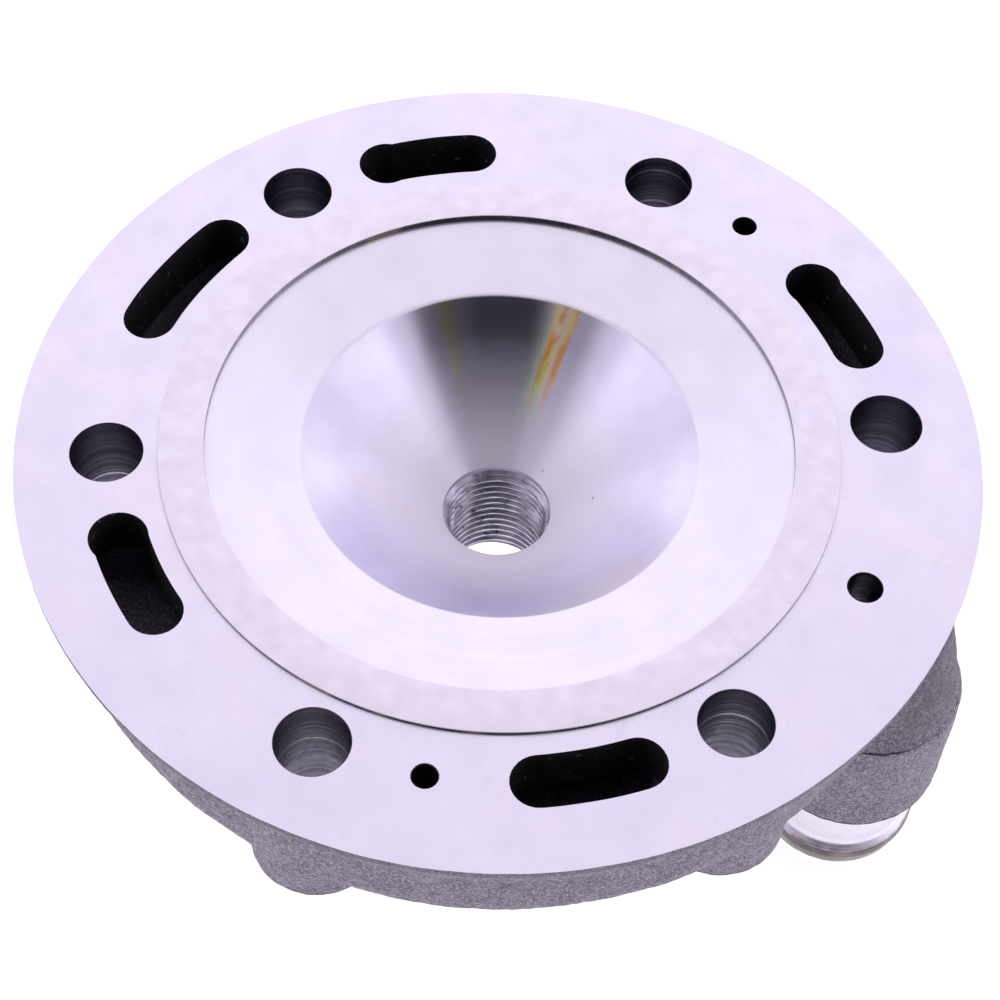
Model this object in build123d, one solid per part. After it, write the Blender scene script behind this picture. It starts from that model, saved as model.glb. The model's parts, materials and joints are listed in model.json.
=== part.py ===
from build123d import *
import math
import os

# Liquid-cooled two-stroke cylinder head, drawn with its gasket face up.
# Origin: centre of the gasket face. +Z points out of that face and +X points to the coolant outlet.
# Lengths are in millimetres and angles in degrees. Depths below the gasket face are negative heights.

# Gasket face and flange
flange_radius = 60.0
lip_height = 1.2            # straight edge of the flange, before it sweeps in to the jacket wall
wall_radius = 56.5          # outside of the water jacket
wall_top = -8.0
shoulder_height = -19.0     # where the jacket wall turns over into the roof
shoulder_radius = 5.0
ring_outer_radius = 42.4   # raised sealing ring round the bore
ring_inner_radius = 36.7
ring_height = 0.4

# Combustion chamber and plug hole
band_edge_height = -0.45    # squish band at the sealing ring
mouth_radius = 25.2
mouth_height = -2.2
mouth_rounding = 1.8
plug_mouth_radius = 7.0     # M14 x 1.25 plug thread
plug_mouth_height = -15.6
thread_root_radius = 6.35   # minor radius of the plug thread
insert_radius = 8.0
insert_top_height = -16.4   # the casting keeps a plain lip above the threaded insert
plug_seat_height = -33.0
tower_radius = 15.5

# Water jacket
deck_height = -7.0          # underside of the gasket deck
jacket_outer_radius = 52.0
jacket_inner_radius = 15.0
chamber_wall_radius = 29.8  # where the jacket starts, outside the bowl
chamber_knee_height = -10.0
roof_slope = 0.235          # rise of the roof towards the plug tower, per unit of radius
roof_thickness = 4.0

# Bolt holes
bolt_circle_radius = 48.65
bolt_count = 6
bolt_hole_radius = 4.5
bolt_first_angle = 30.0
column_end_height = -22.3
column_end_radius = 8.1
column_root_radius = 9.1

# Coolant passages through the gasket face: (middle angle, angle covered)
slot_radius = 48.5
slot_width = 6.8
slots = [(51.6, 21.8), (127.7, 21.8), (174.5, 27.2), (232.2, 21.8), (308.2, 21.8)]
# Drilled passages: (angle, hole radius)
drillings = [(74.0, 1.6), (286.0, 1.6), (0.0, 2.15)]

# Coolant outlet
outlet_distance = 52.0
outlet_face_height = -35.0
outlet_boss_radius = 11.8
outlet_collar_height = -17.2
outlet_collar_step = 0.7    # how far the collar stands proud of the crown above it
outlet_crown_radius = 7.9
outlet_crown_height = -2.5
waterway_radius = 7.5
waterway_crown_radius = 5.0
waterway_crown_height = -8.0
waterway_window_radius = 4.2    # passage from the jacket into the outlet's waterway
waterway_window_height = -12.2
spigot_radius = 9.3
spigot_socket_end = -23.0
spigot_bead_radius = 10.4
spigot_end_height = -49.6

# Ports in the jacket roof: (distance from the plug axis, angle)
bleed_place = (36.0, 60.0)
bleed_boss_radius = 6.5
bleed_face_height = -26.0
bleed_thread_radius = 3.0
bleed_head_width = 10.0
bleed_head_height = 4.5
sensor_place = (36.0, 300.0)
sensor_boss_radius = 10.0
sensor_face_height = -28.0
sensor_thread_radius = 6.0
sensor_head_width = 17.0
sensor_head_height = 6.0
washer_height = 1.5
core_hole_distance = 34.0
core_hole_angles = (120.0, 240.0)
core_pad_radius = 11.0
core_pad_height = -26.0
core_plug_radius = 8.0
core_plug_depth = 4.0
core_plug_wall = 1.2
core_opening_radius = 6.3

clear = 1.0                 # how far a cutting tool runs past the face that it opens


def turned(*corners):
    """Solid of revolution about Z from corners given as (radius, height, rounding)."""
    points = [(radius, height) for radius, height, rounding in corners]
    roundings = [rounding for radius, height, rounding in corners]
    outline = FilletPolyline(*points, radius=roundings, close=True)
    return revolve(Plane.XZ * make_face(outline), Axis.Z)


def rod(radius, low, high):
    """Cylinder about Z between two heights."""
    return Pos(0, 0, low) * Cylinder(radius, high - low, align=(Align.CENTER, Align.CENTER, Align.MIN))


def tapered(low_radius, high_radius, low, high):
    """Cone frustum about Z between two heights."""
    frustum = Cone(low_radius, high_radius, high - low, align=(Align.CENTER, Align.CENTER, Align.MIN))
    return Pos(0, 0, low) * frustum


def placed(shape, distance, angle):
    """Shape moved out from the plug axis by a distance, at an angle from +X."""
    return Pos(distance * math.cos(math.radians(angle)), distance * math.sin(math.radians(angle)), 0) * shape


def roof_height(radius):
    """Height of the outside of the jacket roof at a radius."""
    return shoulder_height - roof_slope * (wall_radius - shoulder_radius - radius)


def bolt_angles():
    """Angles of the bolt holes, evenly spaced."""
    return [bolt_first_angle + 360 / bolt_count * index for index in range(bolt_count)]


def head_outside():
    """Flange with its raised sealing ring, jacket wall, roof and plug tower, before anything is cut."""
    tower_foot = tower_radius + 2.5
    return turned(
        (0, ring_height, 0),
        (ring_outer_radius, ring_height, 0),
        (ring_outer_radius, 0, 0),
        (flange_radius, 0, 0),
        (flange_radius, -lip_height, 0.4),
        (wall_radius, wall_top, 5.0),
        (wall_radius, shoulder_height, shoulder_radius),
        (tower_foot, roof_height(tower_foot), 5.0),
        (tower_radius, plug_seat_height, 0.5),
        (0, plug_seat_height, 0),
    )


def chamber():
    """Space cut by the recess, the squish band, the bowl and the plug hole's plain lip."""
    return turned(
        (0, ring_height + clear, 0),
        (ring_inner_radius, ring_height + clear, 0),
        (ring_inner_radius, band_edge_height, 0),
        (mouth_radius, mouth_height, mouth_rounding),
        (plug_mouth_radius, plug_mouth_height, 0),
        (plug_mouth_radius, insert_top_height - clear, 0),
        (0, insert_top_height - clear, 0),
    )


def jacket():
    """Hollow for the coolant, between the bowl, the wall and the roof."""
    roof_inside = shoulder_height + roof_thickness
    roof_inside_at_tower = roof_height(jacket_inner_radius) + roof_thickness
    return turned(
        (chamber_wall_radius, deck_height, 1.0),
        (jacket_outer_radius, deck_height, 1.5),
        (jacket_outer_radius, roof_inside, 2.5),
        (jacket_inner_radius, roof_inside_at_tower, 2.0),
        (jacket_inner_radius, plug_mouth_height - 1.5, 1.5),
        (chamber_wall_radius - 3.5, chamber_knee_height, 2.0),
    )


def outlet_housing():
    """Cast elbow that brings the coolant down to the hose spigot."""
    shape = turned(
        (0, outlet_crown_height, 0),
        (outlet_crown_radius, outlet_crown_height, 2.0),
        (outlet_boss_radius - outlet_collar_step, outlet_collar_height + 0.6, 0.3),
        (outlet_boss_radius, outlet_collar_height, 0.3),
        (outlet_boss_radius, outlet_face_height, 0.3),
        (0, outlet_face_height, 0),
    )
    return placed(shape, outlet_distance, 0)


def outlet_bore():
    """Waterway from the jacket, its window and the socket that the spigot is pressed into."""
    waterway = turned(
        (0, waterway_crown_height, 0),
        (waterway_crown_radius, waterway_crown_height, 2.0),
        (waterway_radius, outlet_collar_height, 3.0),
        (waterway_radius, outlet_face_height - clear, 0),
        (0, outlet_face_height - clear, 0),
    )
    socket = rod(spigot_radius, outlet_face_height - clear, spigot_socket_end)
    window = Cylinder(waterway_window_radius, outlet_boss_radius + 2 * clear,
                      align=(Align.CENTER, Align.CENTER, Align.MIN))
    window = Pos(0, 0, waterway_window_height) * Rot(0, -90, 0) * window
    return placed(waterway + socket + window, outlet_distance, 0)


def kidney_slot(middle_angle, covered_angle):
    """Curved coolant slot with round ends, cut through the gasket deck."""
    end_angle = math.degrees(slot_width / 2 / slot_radius)
    centre_line = CenterArc((0, 0), slot_radius, middle_angle - covered_angle / 2 + end_angle,
                            covered_angle - 2 * end_angle)
    return extrude(Pos(0, 0, deck_height - clear) * SlotArc(centre_line, slot_width), clear - deck_height + clear)


def deck_drilling(angle, radius):
    """Small round passage from the gasket face into the jacket."""
    return placed(rod(radius, deck_height - 2 * clear, clear), bolt_circle_radius, angle)


def core_pads():
    """Cast pads round the two holes that the casting core was supported through."""
    pad = rod(core_pad_radius, core_pad_height, shoulder_height)
    return [placed(pad, core_hole_distance, angle) for angle in core_hole_angles]


def core_holes():
    """Counterbores for the cup plugs, open to the jacket."""
    hole = rod(core_plug_radius, core_pad_height - clear, core_pad_height + core_plug_depth)
    opening = rod(core_opening_radius, core_pad_height, shoulder_height + roof_thickness)
    return [placed(hole + opening, core_hole_distance, angle) for angle in core_hole_angles]


def head_casting():
    """The head itself, cast hollow and then machined."""
    body = head_outside() - jacket()
    column = tapered(column_end_radius, column_root_radius, column_end_height, deck_height + clear)
    body += [placed(column, bolt_circle_radius, angle) for angle in bolt_angles()]
    body += outlet_housing()
    body += placed(rod(bleed_boss_radius, bleed_face_height, shoulder_height), *bleed_place)
    body += placed(rod(sensor_boss_radius, sensor_face_height, shoulder_height), *sensor_place)
    body += core_pads()

    body -= chamber()
    body -= rod(insert_radius, plug_seat_height - clear, insert_top_height)
    hole = rod(bolt_hole_radius, column_end_height - clear, clear)
    body -= [placed(hole, bolt_circle_radius, angle) for angle in bolt_angles()]
    body -= [kidney_slot(middle, covered) for middle, covered in slots]
    body -= [deck_drilling(angle, radius) for angle, radius in drillings]
    body -= outlet_bore()
    body -= placed(rod(bleed_thread_radius, bleed_face_height - clear, shoulder_height + roof_thickness), *bleed_place)
    body -= placed(rod(sensor_thread_radius, sensor_face_height - clear, shoulder_height + roof_thickness),
                   *sensor_place)
    body -= core_holes()
    return body


def spark_plug_thread_insert():
    """Bush with the plug thread, pressed in below the casting's lip."""
    chamfer_size = plug_mouth_radius - thread_root_radius
    return turned(
        (thread_root_radius, insert_top_height - chamfer_size, 0),
        (plug_mouth_radius, insert_top_height, 0),
        (insert_radius, insert_top_height, 0),
        (insert_radius, plug_seat_height, 0),
        (plug_mouth_radius, plug_seat_height, 0),
        (thread_root_radius, plug_seat_height + chamfer_size, 0),
    )


def coolant_outlet_spigot():
    """Turned hose tube with a bead, pressed into the outlet socket."""
    bead_height = spigot_end_height + 3.2
    tube = turned(
        (waterway_radius, spigot_socket_end, 0),
        (spigot_radius, spigot_socket_end, 0),
        (spigot_radius, bead_height + 1.8, 0.8),
        (spigot_bead_radius, bead_height + 0.8, 0.6),
        (spigot_bead_radius, bead_height - 0.6, 0.6),
        (spigot_radius + 0.5, spigot_end_height, 0.3),
        (waterway_radius + 0.4, spigot_end_height, 0),
        (waterway_radius, spigot_end_height + 0.4, 0),
    )
    return placed(tube, outlet_distance, 0)


def hex_screw(thread_radius, thread_end, face_height, head_width, head_height):
    """Hexagon screw on its washer: the shank runs up into the head and the hexagon hangs below the boss."""
    under_head = face_height - washer_height
    shank = rod(thread_radius, under_head, thread_end)
    flange = rod(head_width / 2 + 0.8, under_head - 1.0, under_head)
    hexagon = extrude(Pos(0, 0, under_head - head_height) * RegularPolygon(head_width / 2, 6, major_radius=False),
                      head_height)
    crown = turned(
        (0, under_head, 0),
        (head_width / 2 + 1.5, under_head, 0),
        (head_width / 2 + 1.5, under_head - head_height + 0.9, 0),
        (head_width / 2 - 0.2, under_head - head_height, 0),
        (0, under_head - head_height, 0),
    )
    return (hexagon & crown) + flange + shank


def sealing_washer(hole_radius, outer_radius, face_height):
    """Soft washer squeezed between a screw head and its boss."""
    return rod(outer_radius, face_height - washer_height, face_height) - rod(
        hole_radius, face_height - washer_height - clear, face_height + clear)


def air_bleed_screw():
    """Screw that is opened to let trapped air out of the jacket."""
    screw = hex_screw(bleed_thread_radius, bleed_face_height + 8.0, bleed_face_height, bleed_head_width,
                      bleed_head_height)
    return placed(screw, *bleed_place)


def air_bleed_washer():
    """Washer of the bleed screw."""
    return placed(sealing_washer(bleed_thread_radius, bleed_head_width / 2 + 1.2, bleed_face_height), *bleed_place)


def sensor_port_plug():
    """Screw that closes the temperature sensor's port."""
    screw = hex_screw(sensor_thread_radius, sensor_face_height + 10.0, sensor_face_height, sensor_head_width,
                      sensor_head_height)
    return placed(screw, *sensor_place)


def sensor_port_washer():
    """Washer of the sensor port plug."""
    washer = sealing_washer(sensor_thread_radius, sensor_head_width / 2 + 1.2, sensor_face_height)
    return placed(washer, *sensor_place)


def core_plugs():
    """Pressed cups that close the core holes, one solid for each hole."""
    cup_end = core_pad_height + core_plug_depth
    cup = turned(
        (0, cup_end - core_plug_wall, 0),
        (0, cup_end, 0),
        (core_plug_radius, cup_end, 0.8),
        (core_plug_radius, core_pad_height + 0.3, 0),
        (core_plug_radius - core_plug_wall, core_pad_height + 0.3, 0),
        (core_plug_radius - core_plug_wall, cup_end - core_plug_wall, 0.6),
    )
    return Compound([placed(cup, core_hole_distance, angle).solid() for angle in core_hole_angles])


nodes = {
    "head_casting": head_casting(),
    "spark_plug_thread_insert": spark_plug_thread_insert(),
    "coolant_outlet_spigot": coolant_outlet_spigot(),
    "air_bleed_screw": air_bleed_screw(),
    "air_bleed_washer": air_bleed_washer(),
    "sensor_port_plug": sensor_port_plug(),
    "sensor_port_washer": sensor_port_washer(),
    "core_plugs": core_plugs(),
}

os.makedirs("parts", exist_ok=True)
for name, shape in nodes.items():
    export_step(shape, f"parts/{name}.step")
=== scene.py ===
import bmesh
import bpy
import json
import math
import numpy as np
from mathutils import Matrix, Vector, noise


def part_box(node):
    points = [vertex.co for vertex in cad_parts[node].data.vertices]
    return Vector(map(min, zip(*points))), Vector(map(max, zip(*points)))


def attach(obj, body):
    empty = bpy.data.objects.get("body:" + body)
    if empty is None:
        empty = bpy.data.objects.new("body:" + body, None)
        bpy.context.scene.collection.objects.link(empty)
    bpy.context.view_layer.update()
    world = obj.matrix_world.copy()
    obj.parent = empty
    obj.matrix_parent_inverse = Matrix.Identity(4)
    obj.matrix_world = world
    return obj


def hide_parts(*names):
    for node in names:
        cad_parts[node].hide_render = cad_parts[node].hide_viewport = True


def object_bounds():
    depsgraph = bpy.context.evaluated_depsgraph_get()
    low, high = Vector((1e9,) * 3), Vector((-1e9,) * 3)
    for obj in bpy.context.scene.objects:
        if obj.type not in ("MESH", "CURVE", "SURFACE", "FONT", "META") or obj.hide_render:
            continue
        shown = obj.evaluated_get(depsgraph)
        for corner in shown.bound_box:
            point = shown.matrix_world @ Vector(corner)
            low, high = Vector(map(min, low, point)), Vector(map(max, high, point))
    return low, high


# Looks of a liquid-cooled two-stroke cylinder head, lying with its gasket face up.
# The casting is made the way the real one is: a rough blank with rounded corners and a grainy skin,
# and then every machined surface cut into it with an exact tool. Sizes below are in millimetres and
# are turned into metres where a mesh is made.

MM = 0.001

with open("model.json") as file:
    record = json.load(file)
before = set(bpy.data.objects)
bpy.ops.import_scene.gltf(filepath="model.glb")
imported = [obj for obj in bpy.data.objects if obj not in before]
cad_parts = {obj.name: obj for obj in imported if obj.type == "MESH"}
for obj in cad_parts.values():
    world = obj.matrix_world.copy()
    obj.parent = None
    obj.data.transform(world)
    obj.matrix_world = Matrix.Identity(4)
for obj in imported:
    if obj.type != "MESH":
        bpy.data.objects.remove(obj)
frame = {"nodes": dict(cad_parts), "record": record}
cad_low, cad_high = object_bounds()
mounts = {mount["name"]: mount for mount in frame["record"]["mounts"]}

# Machined sizes
FLANGE_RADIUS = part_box("head_casting")[1].y / MM
BOLT_CIRCLE_RADIUS = mounts["head_bolts"]["dims"]["pcd_mm"] / 2
BOLT_HOLE_RADIUS = mounts["head_bolts"]["dims"]["hole_r_mm"]
BOLT_ANGLES = [30 + 60 * index for index in range(6)]
THREAD_MINOR_RADIUS = mounts["spark_plug_thread"]["dims"]["r_mm"]
THREAD_MAJOR_RADIUS = 7.0
THREAD_PITCH = 1.25
ROOT_SHARE = 0.14           # of the pitch is the thread's flat root
FLANK_SHARE = 0.76          # of the pitch is the root and both flanks
ROOT_CLEARANCE = 0.05
RING_OUTER_RADIUS = 42.4
RING_INNER_RADIUS = 36.7
RING_HEIGHT = 0.4
BAND_EDGE_HEIGHT = -0.45    # squish band at the sealing ring
MOUTH_RADIUS = 25.2
MOUTH_HEIGHT = -2.2
MOUTH_ROUNDING = 1.8
PLUG_MOUTH_HEIGHT = -15.6
PLUG_LIP_HEIGHT = -16.4
INSERT_RADIUS = 8.0
PLUG_SEAT_HEIGHT = -33.0
TOWER_RADIUS = 15.5
SLOT_RADIUS = 48.5
SLOT_WIDTH = 6.8
SLOTS = [(51.6, 21.8), (127.7, 21.8), (174.5, 27.2), (232.2, 21.8), (308.2, 21.8)]
DRILLINGS = [(74.0, 1.6), (286.0, 1.6), (0.0, 2.15)]

# Cast sizes
LIP_HEIGHT = 1.2
WALL_RADIUS = 56.5
WALL_TOP = -8.0
SHOULDER_HEIGHT = -19.0
SHOULDER_RADIUS = 5.0
ROOF_SLOPE = 0.235
ROOF_THICKNESS = 4.0
DECK_HEIGHT = -7.0
JACKET_OUTER_RADIUS = 52.0
JACKET_INNER_RADIUS = 15.0
CHAMBER_WALL_RADIUS = 29.8  # where the jacket starts, outside the bowl
CHAMBER_KNEE_HEIGHT = -10.0
COLUMN_END_HEIGHT = -22.3
COLUMN_END_RADIUS = 8.1
COLUMN_ROOT_RADIUS = 9.1
OUTLET_DISTANCE = 52.0
OUTLET_FACE_HEIGHT = -35.0
OUTLET_BOSS_RADIUS = 11.8
OUTLET_COLLAR_HEIGHT = -17.2
OUTLET_COLLAR_STEP = 0.7
OUTLET_CROWN_RADIUS = 7.9
OUTLET_CROWN_HEIGHT = -2.5
SPIGOT_RADIUS = mounts["coolant_hose_spigot"]["dims"]["r_mm"]
WATERWAY_RADIUS = 7.5
WATERWAY_TOP_RADIUS = 5.0
WATERWAY_TOP_HEIGHT = -8.0
WINDOW_RADIUS = 4.2         # opening from the jacket into the outlet
WINDOW_HEIGHT = -12.2
BLEED_PLACE = (36.0, 60.0)
BLEED_BOSS_RADIUS = 6.5
BLEED_FACE_HEIGHT = -26.0
BLEED_THREAD_RADIUS = 3.0
SENSOR_PLACE = (36.0, 300.0)
SENSOR_BOSS_RADIUS = 10.0
SENSOR_FACE_HEIGHT = -28.0
SENSOR_THREAD_RADIUS = 6.0
CORE_DISTANCE = 34.0
CORE_ANGLES = (120.0, 240.0)
CORE_PAD_RADIUS = 11.0
CORE_PAD_HEIGHT = -26.0
CORE_PLUG_RADIUS = 8.0
CORE_PLUG_DEPTH = 4.0

CORE_OPENING_RADIUS = 6.3
SPIGOT_SOCKET_END = -23.0
SPIGOT_BEAD_RADIUS = 10.4
SPIGOT_END_HEIGHT = cad_low.z / MM
BEAD_HEIGHT = SPIGOT_END_HEIGHT + 3.2
SLOT_WANDER = 0.12          # how far the cast slots' outlines wander
SLOT_PLUNGES = [1, 1, 0, -1, 0]  # end of each slot where the cutter plunged, seen round the head
SLOT_PLUNGE_EXTRA = 0.25
CALM_HEIGHT = -2.5          # above this the skin is smoother, so the face's outline stays true
CALM_SHARE = 0.3

# Colours
CAST_COLOR = (0.235, 0.21, 0.265)
CAST_COLOR_LIGHT = (0.30, 0.27, 0.335)
CAST_COLOR_DARK_GRAIN = (0.095, 0.08, 0.105)
# Light grains of the cast skin, also used as painted glints in the jacket
CAST_COLOR_LIGHT_GRAIN_AND_GLINT = (0.50, 0.465, 0.56)
# Painted shade close under the gasket face and on the outlet's crown
CAST_SHADE_COLOR = (0.075, 0.068, 0.08)
# Painted shade in thin lines round machined ends and under the collar
CREASE_SHADE_COLOR = (0.02, 0.018, 0.02)
CAST_GRAIN = 0.24           # size of the casting sand's grains
# The water jacket is painted nearly black as shade
JACKET_SHADE_COLOR = (0.007, 0.006, 0.008)
JACKET_SHADE_COLOR_LIGHT = (0.013, 0.012, 0.015)
FACE_COLOR = (0.90, 0.86, 0.96)
FACE_COLOR_DARK = (0.84, 0.79, 0.90)
FACE_COLOR_ROSE = (0.93, 0.84, 0.93)
FACE_COLOR_BLUE = (0.78, 0.77, 0.95)
RING_COLOR = (0.92, 0.87, 0.97)
RING_COLOR_DARK = (0.80, 0.75, 0.86)
RING_COLOR_WARM = (0.87, 0.81, 0.87)
# Step walls: painted shade with a brassy tint, and their clean colour between
STEP_SHADE_COLOR = (0.07, 0.062, 0.072)
STEP_SHADE_COLOR_BRASS = (0.42, 0.33, 0.20)
STEP_COLOR_CLEAN = (0.42, 0.39, 0.44)
# Line round the head along which the step walls carry painted shade, on both sides
STEP_SHADE_DIRECTION = math.radians(114.0)
BAND_COLOR = (0.90, 0.86, 0.96)
BAND_COLOR_DARK = (0.84, 0.80, 0.90)
BOWL_COLOR = (0.84, 0.80, 0.98)
BOWL_COLOR_DARK = (0.78, 0.74, 0.91)
BOWL_COLOR_INNER = (0.95, 0.91, 1.0)
# Colours of the painted diffraction streaks of the sheen, from the bowl's middle outwards
GREEN_HUES = [
    (0.90, 0.86, 0.95),
    (0.90, 0.96, 0.88),
    (0.86, 1.0, 0.84),
    (0.80, 0.84, 0.80),
    (0.80, 0.77, 0.84),
]
YELLOW_HUES = [
    (0.88, 0.86, 0.92),
    (0.84, 0.96, 0.62),
    (0.90, 0.95, 0.30),
    (1.0, 0.42, 0.10),
    (1.0, 0.86, 0.50),
]
RED_HUES = [
    (0.88, 0.84, 0.92),
    (0.92, 0.72, 0.78),
    (1.0, 0.66, 0.42),
    (1.0, 0.42, 0.12),
    (1.0, 0.80, 0.36),
]
TAN_HUES = [
    (0.84, 0.80, 0.98),
    (0.84, 0.80, 0.90),
    (0.86, 0.78, 0.78),
    (0.90, 0.80, 0.68),
    (0.94, 0.84, 0.60),
]
# Degrees round the head, half the width in degrees, and the colours
SHEEN_STREAKS = [
    (101.0, 6.5, GREEN_HUES),
    (97.0, 3.4, YELLOW_HUES),
    (92.4, 2.3, RED_HUES),
    (133.0, 4.5, TAN_HUES),
]
SHEEN_SLANT = 5.0           # how much the colours change across a streak
# Painted shade in a band below the spigot's bead
BEAD_SHADE_COLOR = (0.105, 0.078, 0.084)
BEAD_SHADE_COLOR_LIGHT = (0.22, 0.18, 0.185)
# Bore walls: painted shade inside the holes, darker along turning lines, and painted highlight arcs
BORE_SHADE_COLOR = (0.21, 0.195, 0.26)
BORE_SHADE_COLOR_DARK = (0.075, 0.068, 0.095)
BORE_HIGHLIGHT_COLOR = (0.75, 0.72, 0.78)
PIT_COLOR = (0.08, 0.07, 0.08)
SPOT_FACE_COLOR = (0.74, 0.72, 0.78)
SPOT_FACE_COLOR_DARK = (0.6, 0.58, 0.64)
THREAD_COLOR = (0.72, 0.69, 0.80)
THREAD_COLOR_DARK = (0.46, 0.44, 0.52)
THREAD_COLOR_TORN = (0.05, 0.045, 0.05)
SPIGOT_COLOR = (0.82, 0.79, 0.90)
SPIGOT_COLOR_DARK = (0.62, 0.6, 0.68)
SCREW_COLOR = (0.70, 0.68, 0.66)
WASHER_COLOR = (0.76, 0.75, 0.78)
CUP_COLOR = (0.66, 0.64, 0.60)
WORN_COLOR = (0.85, 0.84, 0.84)

ALLOWANCE = 2.0             # metal left on the blank where it will be machined
CLEAR = 3.0                 # how far a tool starts outside the metal
SPOT_MARGIN = 1.0           # how far a spot-facing cutter reaches past a boss
VOXEL = 0.5                 # size of the blank's mesh
TURNED_STEPS = 240          # facets round a turned surface


# ---------------------------------------------------------------- shapes

def rounded_outline(corners, pieces=8):
    """Points of an outline whose corners are (radius, height, rounding)."""
    points = []
    count = len(corners)
    for index, (radius, height, rounding) in enumerate(corners):
        corner = Vector((radius, height))
        if rounding == 0:
            points.append(corner)
            continue
        before = (Vector(corners[index - 1][:2]) - corner).normalized()
        after = (Vector(corners[(index + 1) % count][:2]) - corner).normalized()
        half_angle = before.angle(after) / 2
        centre = corner + (before + after).normalized() * (rounding / math.sin(half_angle))
        start = corner + before * (rounding / math.tan(half_angle)) - centre
        end = corner + after * (rounding / math.tan(half_angle)) - centre
        for step in range(pieces + 1):
            part = step / pieces
            direction = start * (1 - part) + end * part
            points.append(centre + direction.normalized() * rounding)
    return points


def mesh_object(name, vertices, faces):
    """New object from millimetre points and faces, with its normals made consistent."""
    mesh = bpy.data.meshes.new(name)
    mesh.from_pydata([Vector(vertex) * MM for vertex in vertices], [], faces)
    edit = bmesh.new()
    edit.from_mesh(mesh)
    bmesh.ops.remove_doubles(edit, verts=edit.verts, dist=1e-7)
    bmesh.ops.recalc_face_normals(edit, faces=edit.faces)
    edit.to_mesh(mesh)
    edit.free()
    piece = bpy.data.objects.new(name, mesh)
    bpy.context.scene.collection.objects.link(piece)
    return piece


def turned(name, corners, distance=0.0, angle=0.0, steps=TURNED_STEPS):
    """Closed turned solid about a vertical axis at a distance and angle from the plug axis."""
    outline = rounded_outline(corners)
    count = len(outline)
    centre = polar(distance, angle)
    vertices = []
    for step in range(steps):
        turn = 2 * math.pi * step / steps
        for point in outline:
            vertices.append((
                centre.x + point.x * math.cos(turn),
                centre.y + point.x * math.sin(turn),
                point.y,
            ))
    faces = []
    for step in range(steps):
        here = step * count
        there = (step + 1) % steps * count
        for index in range(count):
            after = (index + 1) % count
            ring = [here + index, there + index, there + after, here + after]
            if outline[index].x < 1e-6 and outline[after].x < 1e-6:
                continue
            if outline[index].x < 1e-6:
                ring = [ring[0], ring[2], ring[3]]
            elif outline[after].x < 1e-6:
                ring = [ring[0], ring[1], ring[2]]
            faces.append(ring)
    return mesh_object(name, vertices, faces)


def polar(distance, angle):
    """Point at a distance and angle from the plug axis, in millimetres."""
    return Vector((distance * math.cos(math.radians(angle)), distance * math.sin(math.radians(angle)), 0))


def rod(name, radius, low, high, distance=0.0, angle=0.0, steps=64, high_radius=None):
    """Upright cylinder or frustum between two heights."""
    top_radius = radius if high_radius is None else high_radius
    corners = [(0, low, 0), (radius, low, 0), (top_radius, high, 0), (0, high, 0)]
    return turned(name, corners, distance, angle, steps)


def arc_slot(name, middle_angle, covered_angle, low, high, steps=28):
    """Upright prism over a curved slot with round ends."""
    half_width = SLOT_WIDTH / 2
    half_span = math.radians(covered_angle) / 2 - half_width / SLOT_RADIUS
    outline = []
    for side in (1, -1):
        radius = SLOT_RADIUS + side * half_width
        for step in range(steps + 1):
            turn = side * half_span * (2 * step / steps - 1)
            outline.append(Vector((radius * math.cos(turn), radius * math.sin(turn), 0)))
        end = side * half_span
        centre = Vector((SLOT_RADIUS * math.cos(end), SLOT_RADIUS * math.sin(end), 0))
        for step in range(1, steps // 2):
            turn = end + math.pi * step / (steps // 2) + (0 if side > 0 else math.pi)
            outline.append(centre + Vector((math.cos(turn), math.sin(turn), 0)) * half_width)
    turned_outline = [Matrix.Rotation(math.radians(middle_angle), 3, "Z") @ point for point in outline]
    count = len(turned_outline)
    vertices = [(p.x, p.y, low) for p in turned_outline] + [(p.x, p.y, high) for p in turned_outline]
    faces = [[i, (i + 1) % count, count + (i + 1) % count, count + i] for i in range(count)]
    faces += [list(range(count)), list(range(count, 2 * count))]
    return mesh_object(name, vertices, faces)


def cut(piece, tools, material=None, operation="DIFFERENCE"):
    """Takes each tool away from the piece, gives the new faces a material, and removes the tool."""
    for tool in tools:
        if material:
            tool.data.materials.append(material)
        modifier = piece.modifiers.new("cut", "BOOLEAN")
        modifier.operation = operation
        modifier.solver = "MANIFOLD"
        modifier.material_mode = "TRANSFER"
        modifier.object = tool
        apply_modifiers(piece)
        bpy.data.objects.remove(tool)


def apply_modifiers(piece):
    """Turns a piece's modifiers into mesh."""
    graph = bpy.context.evaluated_depsgraph_get()
    shaped = bpy.data.meshes.new_from_object(piece.evaluated_get(graph))
    piece.modifiers.clear()
    old = piece.data
    piece.data = shaped
    bpy.data.meshes.remove(old)


# ---------------------------------------------------------------- materials

def new_material(name, color, metallic, roughness):
    """Material with a Principled shader, and its node tree."""
    material = bpy.data.materials.new(name)
    material.use_nodes = True
    shader = material.node_tree.nodes["Principled BSDF"]
    shader.inputs["Base Color"].default_value = (*color, 1)
    shader.inputs["Metallic"].default_value = metallic
    shader.inputs["Roughness"].default_value = roughness
    return material, shader


def node(tree, kind, inputs=None, **settings):
    """New node. Inputs maps a socket's name or number to a value or to another node's output."""
    made = tree.nodes.new(kind)
    for key, value in settings.items():
        setattr(made, key, value)
    for key, value in (inputs or {}).items():
        if isinstance(value, bpy.types.NodeSocket):
            tree.links.new(value, made.inputs[key])
        else:
            made.inputs[key].default_value = value
    return made


def math_node(tree, operation, first, second=0.0, third=0.0):
    """Output of a Math node."""
    return node(tree, "ShaderNodeMath", {0: first, 1: second, 2: third}, operation=operation).outputs[0]


def position(tree):
    """Place on the object, in metres."""
    return node(tree, "ShaderNodeTexCoord").outputs["Object"]


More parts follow.
